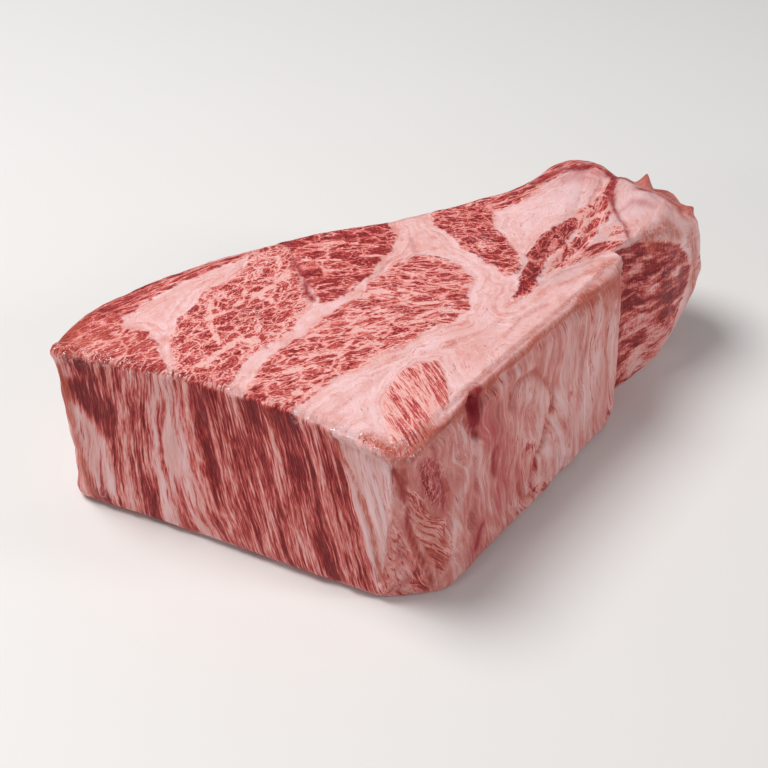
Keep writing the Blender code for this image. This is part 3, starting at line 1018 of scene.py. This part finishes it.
def sharedNoises(tree, read):
    section, streak = read["section"], read["streak"]
    bent = warped(tree, read["fleck"], 0.8, 0.9)
    return {
        "bent": bent,
        "pools": noiseAt(tree, scaled(tree, bent, (0.30, 0.55, 1.0)), 1.0, 3.0, 0.55),
        "fray": noiseAt(tree, section, 0.7, 3.0, 0.6),
        "granules": noiseAt(tree, section, 2.4, 2.0, 0.6),
        "soft": noiseAt(tree, section, 0.10, 3.0, 0.6),
        "mottle": noiseAt(tree, section, 0.45, 3.0, 0.6),
        "fineStreak": noiseAt(tree, streak, 1.25, 3.0, 0.62),
        "wallLines": noiseAt(tree, warped(tree, streak, 0.25, 1.8), 0.45, 4.0, 0.65),
    }


def threads(tree, bent, share, look):
    noise = noiseAt(tree, bent, *look["noise"])
    away = timesPlus(tree, share, look["widen"], offMiddle(tree, noise))
    return band(tree, away, *look["fade"], look["strength"], 0.0)


def cutMarbling(tree, read, noises):
    # wandering threads at two sizes, a net of longer ones, pools of fat and the widest streaks
    bent, net = noises["bent"], threadLook["net"]
    share = timesPlus(tree, noises["pools"], 2.4, plus(tree, read["fatShare"], -1.2))
    share = plus(tree, share, band(tree, read["leanDepth"], *threadLook["rim"]))
    netAway = timesPlus(tree, share, net["widen"], cellEdge(tree, bent, net["scale"]))
    vein = timesPlus(tree, noiseAt(tree, bent, 1.1, 3.0, 0.6), 4.5, plus(tree, read["veinDepth"], -2.45))
    layers = (
        threads(tree, bent, share, threadLook["fine"]),
        band(tree, netAway, *net["fade"], net["strength"], 0.0),
        band(tree, share, *threadLook["pools"]),
        band(tree, vein, -0.45, 0.45),
    )
    marbling = threads(tree, bent, share, threadLook["coarse"])
    for layer in layers:
        marbling = compute(tree, "MAXIMUM", marbling, layer)
    return marbling


def meatShare(tree, read, noises, streaks):
    # 1 in the muscles and 0 in the fat, with a frayed edge
    edge = timesPlus(tree, noises["fray"], 2.4, plus(tree, read["leanDepth"], -2.4))
    edge = timesPlus(tree, noises["pools"], 2.4, edge)
    onWall = band(tree, timesPlus(tree, streaks, 0.25, read["wallFat"]), 0.72, 0.95, 1.0, 0.0)
    return blendValue(tree, read["upright"], band(tree, edge, -0.5, 0.5), onWall)


def meatColour(tree, read, noises, streaks, look):
    wallLevel = timesPlus(tree, read["wallFat"], 1.15, plus(tree, streaks, -0.08))
    wallMarbling = band(tree, wallLevel, -0.1, 1.1)
    fatness = blendValue(tree, read["upright"], cutMarbling(tree, read, noises), wallMarbling)
    grain = noiseAt(tree, noises["bent"], 5.0, 2.0, 0.6)
    patches = noiseAt(tree, read["section"], 0.16, 1.0)
    shade = timesPlus(tree, patches, 0.5, timesPlus(tree, read["tone"], -0.30, -0.80))
    shade = timesPlus(tree, noises["granules"], 0.78, shade)
    level = timesPlus(tree, grain, 1.0, timesPlus(tree, fatness, 0.72, shade))
    return ramp(tree, level, [
        (0.05, look["leanDeep"]), (0.22, look["leanDark"]), (0.42, look["leanMiddle"]),
        (0.62, look["leanPink"]), (0.90, look["thread"]),
    ])


def fatColour(tree, read, noises, look):
    # soft patches, and thin lines that follow the muscles' outlines
    section, upright = read["section"], read["upright"]
    wobble = timesPlus(tree, noiseAt(tree, section, 0.24, 2.0), 4.5, read["contour"])
    flow = addNode(tree, "ShaderNodeCombineXYZ", {"X": wobble, "Y": 0.0, "Z": 0.0}).outputs[0]
    drift = scaled(tree, section, (0.09, 0.09, 0.09))
    flow = addNode(tree, "ShaderNodeVectorMath", {0: flow, 1: drift}, operation="ADD").outputs[0]
    nearMuscle = band(tree, read["contour"], -9.0, -1.0, 0.35, 1.0)
    lines = timesPlus(tree, plus(tree, noiseAt(tree, flow, 0.9, 3.0, 0.62), -0.5), nearMuscle, 0.50)
    calmLines = timesPlus(tree, noises["wallLines"], 1.10, -0.02)
    light = times(tree, noises["soft"], 0.40)
    light = timesPlus(tree, blendValue(tree, upright, lines, calmLines), 0.75, light)
    # the blush darkens the fat; on the narrow end's rim this darkening is painted shade
    light = timesPlus(tree, noises["mottle"], 0.35, timesPlus(tree, read["blushAndRimShade"], -0.32, light))
    light = timesPlus(tree, read["pale"], 0.14, light)
    colour = ramp(tree, light, [
        (0.38, look["fatDeep"]), (0.53, look["fatPink"]), (0.70, look["fatMiddle"]), (0.86, look["fatPale"]),
    ])

    # Thin brown lines, on the walls and on the cut faces
    scratch = band(tree, offMiddle(tree, noises["wallLines"]), 0.004, 0.022, 0.55, 0.0)
    scratch = times(tree, scratch, band(tree, noises["soft"], 0.42, 0.60))
    colour = blendColour(tree, times(tree, scratch, upright), colour, look["brown"])
    thin = band(tree, offMiddle(tree, noiseAt(tree, flow, 0.55, 4.0, 0.6)), 0.002, 0.016, 0.7, 0.0)
    thin = times(tree, thin, band(tree, noises["mottle"], 0.48, 0.60))
    onCut = compute(tree, "SUBTRACT", 1.0, upright)
    return blendColour(tree, times(tree, thin, onCut), colour, look["brown"])


def paintMarks(tree, colour, read, noises, look):
    flushed = times(tree, read["flush"], band(tree, noises["wallLines"], 0.36, 0.64, 1.35, 0.35))
    stained = times(tree, read["stain"], noises["fray"])
    stained = times(tree, stained, band(tree, noises["granules"], 0.36, 0.64, 0.5, 1.4))
    bled = times(tree, read["blood"], band(tree, noises["fray"], 0.15, 0.5))
    layers = (
        (flushed, 0.85, "flush"), (stained, 0.85, "brown"),
        (bled, 0.95, "blood"), (read["vessel"], 0.8, "vessel"),
    )
    for share, most, name in layers:
        colour = blendColour(tree, compute(tree, "MINIMUM", share, most), colour, look[name])
    return colour


def wetSurface(tree, shader, read, noises, inMeat, look):
    # wet shine, small drops in a clear coat, and the fine relief of the grain
    wet = read["wet"]
    shine = timesPlus(tree, inMeat, -0.06, timesPlus(tree, noises["soft"], 0.30, 0.30))
    tree.links.new(timesPlus(tree, wet, -0.15, shine), shader.inputs["Roughness"])
    place = addNode(tree, "ShaderNodeTexCoord", {}).outputs["Object"]
    beads = noiseAt(tree, place, look["beadsPerMetre"], 2.0)
    droplets = times(tree, band(tree, wet, 0.12, 0.5), band(tree, beads, 0.52, 0.57))
    tree.links.new(droplets, shader.inputs["Coat Weight"])
    pores = noiseAt(tree, read["section"], 1.6, 3.0, 0.65)
    height = timesPlus(tree, noises["fineStreak"], 0.9, pores)
    height = timesPlus(tree, times(tree, wet, noises["fray"]), 2.0, height)
    for source, strength, distance, socket in (
        (height, 0.6, look["grainHeight"], "Normal"), (beads, 1.0, look["beadHeight"], "Coat Normal"),
    ):
        bump = addNode(tree, "ShaderNodeBump", {"Height": source, "Strength": strength, "Distance": distance})
        tree.links.new(bump.outputs["Normal"], shader.inputs[socket])


def meatMaterial(look):
    material = bpy.data.materials.new("marbledBeef")
    material.use_nodes = True
    tree = material.node_tree
    shader = tree.nodes["Principled BSDF"]
    read = readFields(tree)
    noises = sharedNoises(tree, read)
    streaks = timesPlus(tree, read["ridge"], 0.42, timesPlus(tree, noises["fineStreak"], 3.1, -1.55))
    inMeat = meatShare(tree, read, noises, streaks)
    colour = meatColour(tree, read, noises, streaks, look)
    colour = blendColour(tree, inMeat, fatColour(tree, read, noises, look), colour)
    colour = paintMarks(tree, colour, read, noises, look)
    tree.links.new(colour, shader.inputs["Base Color"])
    wetSurface(tree, shader, read, noises, inMeat, look)
    shader.inputs["Metallic"].default_value = 0.0
    shader.inputs["Specular IOR Level"].default_value = look["shine"]
    shader.inputs["Subsurface Weight"].default_value = look["subsurface"]
    shader.inputs["Subsurface Radius"].default_value = look["subsurfaceReach"]
    shader.inputs["Subsurface Scale"].default_value = look["subsurfaceScale"]
    shader.inputs["Coat Roughness"].default_value = look["coatRoughness"]
    shader.inputs["Coat IOR"].default_value = look["coatIor"]
    return material


def creaseRelief(points, normals):
    planes = facePlanes(points, normals)
    wander = 0.6 * softNoise(points, 3.0, 8)
    height = np.zeros(len(points))
    for face, rows in reliefs.items():
        across, up, facing = planes[face]
        for halfWidth, lift, *path in rows:
            away = distanceToPath(across, up, path) + wander * min(1.0, halfWidth)
            height += lift * bell(away, 0.0, halfWidth) * facing
    return height


def steakRelief(form, points, normals, fields, w):
    # how far each point stands out along its normal
    leanDepth, upright = fields["leanDepth"], fields["upright"]
    onTop = 1.0 - upright
    height = 0.35 * softNoise(points, 11.0, 11) + 0.18 * softNoise(points, 3.4, 12)
    height += 0.30 * ease(-0.5, 0.8, leanDepth) * onTop
    inFat = 1.0 - ease(-6.0, -2.0, leanDepth)
    height += 0.22 * softNoise(points * [0.5, 1.4, 1.0], 2.6, 14) * inFat * onTop
    lean = 1.0 - ease(0.55, 0.95, fields["wallFat"])
    height += upright * fields["ridge"] * between(0.20, 0.42, lean)
    folds = 0.9 * softNoise(points * [1.0, 1.0, 0.5], 10.0, 15)
    folds = folds + 0.35 * softNoise(points * [1.0, 1.0, 0.6], 4.0, 17)
    height += folds * upright * ease(0.3, 0.7, np.abs(normals[:, 1]))
    ragged = between(0.9, 0.3, ease(106.0, 112.0, points[:, 0]))
    atRim = bell(points[:, 2], form["thickness"], 2.6)
    height += ragged * softNoise(points * [1.0, 1.0, 0.4], 2.4, 16) * atRim * upright
    height += creaseRelief(points, normals)
    return height * ease(0.0, 0.06, w)


def makeSteak(form):
    counts = [steps + 1 for steps in form["steps"]]
    corners, quads = blockMesh(counts)
    u, v, w = (corners / np.array(form["steps"])).T
    # closer lines near the rounded narrow end
    u = between(u, np.sin(0.5 * np.pi * u), 0.25)
    points = formPoints(form, u, v, w)
    normals = pointNormals(points, quads)
    fields = meatFields(form, points, normals)
    points = points + normals * steakRelief(form, points, normals, fields, w)[:, None]
    for kind in marks:
        fields[kind] = markField(kind, points, normals)
    fields["wet"] = wetField(points)
    points, tagged = pullTags(points)
    fields["stain"] = np.maximum(fields["stain"], tagged)

    mesh = bpy.data.meshes.new("beefSteak")
    place = points * mm + np.array([originX * mm, originY * mm, cadLow.z])
    mesh.vertices.add(len(place))
    mesh.vertices.foreach_set("co", place.astype(np.float32).ravel())
    mesh.loops.add(quads.size)
    mesh.loops.foreach_set("vertex_index", quads.astype(np.int32).ravel())
    mesh.polygons.add(len(quads))
    mesh.polygons.foreach_set("loop_start", np.arange(0, quads.size, 4, dtype=np.int32))
    mesh.polygons.foreach_set("loop_total", np.full(len(quads), 4, np.int32))
    mesh.update(calc_edges=True)
    mesh.validate()
    mesh.shade_smooth()
    for name, values in fields.items():
        kind, part = ("FLOAT_VECTOR", "vector") if values.ndim == 2 else ("FLOAT", "value")
        layer = mesh.attributes.new(name, kind, "POINT")
        layer.data.foreach_set(part, values.astype(np.float32).ravel())
    steak = bpy.data.objects.new("marbledSteak", mesh)
    bpy.context.scene.collection.objects.link(steak)
    mesh.materials.append(meatMaterial(meatLook))
    return steak


# Floor, light and camera

floorLook = {"size": 3.0, "colour": (0.80, 0.79, 0.78), "roughness": 0.6}


def makeFloor(look):
    half = look["size"] / 2
    mesh = bpy.data.meshes.new("floor")
    corners = [(-half, -half, 0), (half, -half, 0), (half, half, 0), (-half, half, 0)]
    mesh.from_pydata(corners, [], [(0, 1, 2, 3)])
    floor = bpy.data.objects.new("floor", mesh)
    floor.location.z = cadLow.z - 0.0002
    bpy.context.scene.collection.objects.link(floor)
    material = bpy.data.materials.new("paleFloor")
    material.use_nodes = True
    tree = material.node_tree
    place = addNode(tree, "ShaderNodeTexCoord", {}).outputs["Object"]
    tint = ramp(tree, noiseAt(tree, place, 6.0, 3.0), [
        (0.3, tuple(0.985 * c for c in look["colour"])), (0.7, look["colour"]),
    ])
    shader = tree.nodes["Principled BSDF"]
    tree.links.new(tint, shader.inputs["Base Color"])
    shader.inputs["Roughness"].default_value = look["roughness"]
    mesh.materials.append(material)
    return floor


lightSetup = {
    "key": {"place": (-0.20, 0.45, 1.00), "size": 0.55, "watts": 10.5},
    "front": {"place": (-0.95, 0.10, 0.45), "size": 0.22, "watts": 1.2},
    "side": {"place": (0.45, -0.95, 0.45), "size": 0.22, "watts": 3.0},
    "world": 0.22,
    "worldColour": (0.95, 0.97, 1.0, 1.0),
    "colour": (1.0, 0.985, 0.965),
    "aim": (0.0, 0.0, 0.03),
}


def makeLights(setup):
    for name in ("key", "front", "side"):
        lamp = bpy.data.lights.new(name + "Light", "AREA")
        lamp.shape = "DISK"
        lamp.size = setup[name]["size"]
        lamp.energy = setup[name]["watts"]
        lamp.color = setup["colour"]
        holder = bpy.data.objects.new(name + "Light", lamp)
        holder.location = setup[name]["place"]
        aim = Vector(setup["aim"]) - holder.location
        holder.rotation_euler = aim.to_track_quat("-Z", "Y").to_euler()
        bpy.context.scene.collection.objects.link(holder)
    world = bpy.data.worlds.new("softRoom")
    world.use_nodes = True
    background = world.node_tree.nodes["Background"]
    background.inputs["Color"].default_value = setup["worldColour"]
    background.inputs["Strength"].default_value = setup["world"]
    bpy.context.scene.world = world


cameraSetup = {
    "place": (-170.14, -126.58, 257.01),  # millimetres from the front corner, above the floor
    "pitch": 40.0,  # degrees down
    "turn": -52.0,
    "lens": 56.25,
    "sensor": 36.0,
}


def makeCamera(setup):
    data = bpy.data.cameras.new("camera")
    data.lens = setup["lens"]
    data.sensor_width = setup["sensor"]
    data.clip_start = 0.01
    camera = bpy.data.objects.new("camera", data)
    x, y, z = setup["place"]
    camera.location = ((x + originX) * mm, (y + originY) * mm, z * mm + cadLow.z)
    camera.rotation_euler = (math.radians(90.0 - setup["pitch"]), 0.0, math.radians(setup["turn"]))
    bpy.context.scene.collection.objects.link(camera)
    bpy.context.scene.camera = camera


makeCamera(cameraSetup)
makeLights(lightSetup)
makeFloor(floorLook)
print("camera, light and floor made")

steak = makeSteak(steakForm)
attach(steak, "root")
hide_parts("beef_steak")
print("steak made with", len(steak.data.polygons), "faces")

bpy.context.scene.view_settings.view_transform = "Standard"
bpy.context.view_layer.update()
